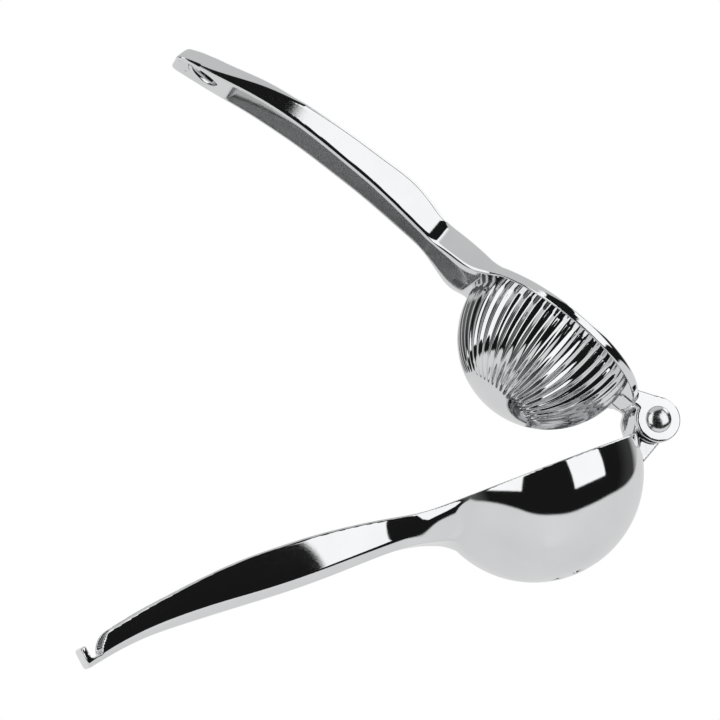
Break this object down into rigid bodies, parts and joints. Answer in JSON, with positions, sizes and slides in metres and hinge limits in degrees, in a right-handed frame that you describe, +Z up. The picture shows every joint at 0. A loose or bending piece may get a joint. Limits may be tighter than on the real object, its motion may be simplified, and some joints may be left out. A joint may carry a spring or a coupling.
{
  "type": "hinged lemon squeezer",
  "caption": "Hinged cast metal citrus squeezer: a hollow fluted dome on the upper arm presses fruit into a bowl with drain holes.",
  "frame": {"origin": "centre of the plan of the standing, open tool, on the surface that it stands on", "axes": "+Z up; +X along the lower handle, from its lip towards the hinge; +Y across the tool, along the hinge pin"},
  "size_m": [0.207, 0.072, 0.192],
  "materials": {
    "arm_plating": "bright chrome plate over a polished zinc casting",
    "pin_plating": "bright chrome plate on a turned steel rivet",
    "washer_steel": "plain pressed steel"
  },
  "bodies": {
    "lower": {"lower_arm": "arm_plating"},
    "upper": {"upper_arm": "arm_plating", "hinge_pin": "pin_plating", "pin_cap": "pin_plating", "washer_near": "washer_steel", "washer_far": "washer_steel"}
  },
  "joints": [
    {"name": "arm_hinge", "type": "hinge", "parent": "lower", "child": "upper", "pos_m": [0.09595, 0, 0.04525], "axis": [0, 1, 0], "range_deg": [-57, 90]}
  ]
}
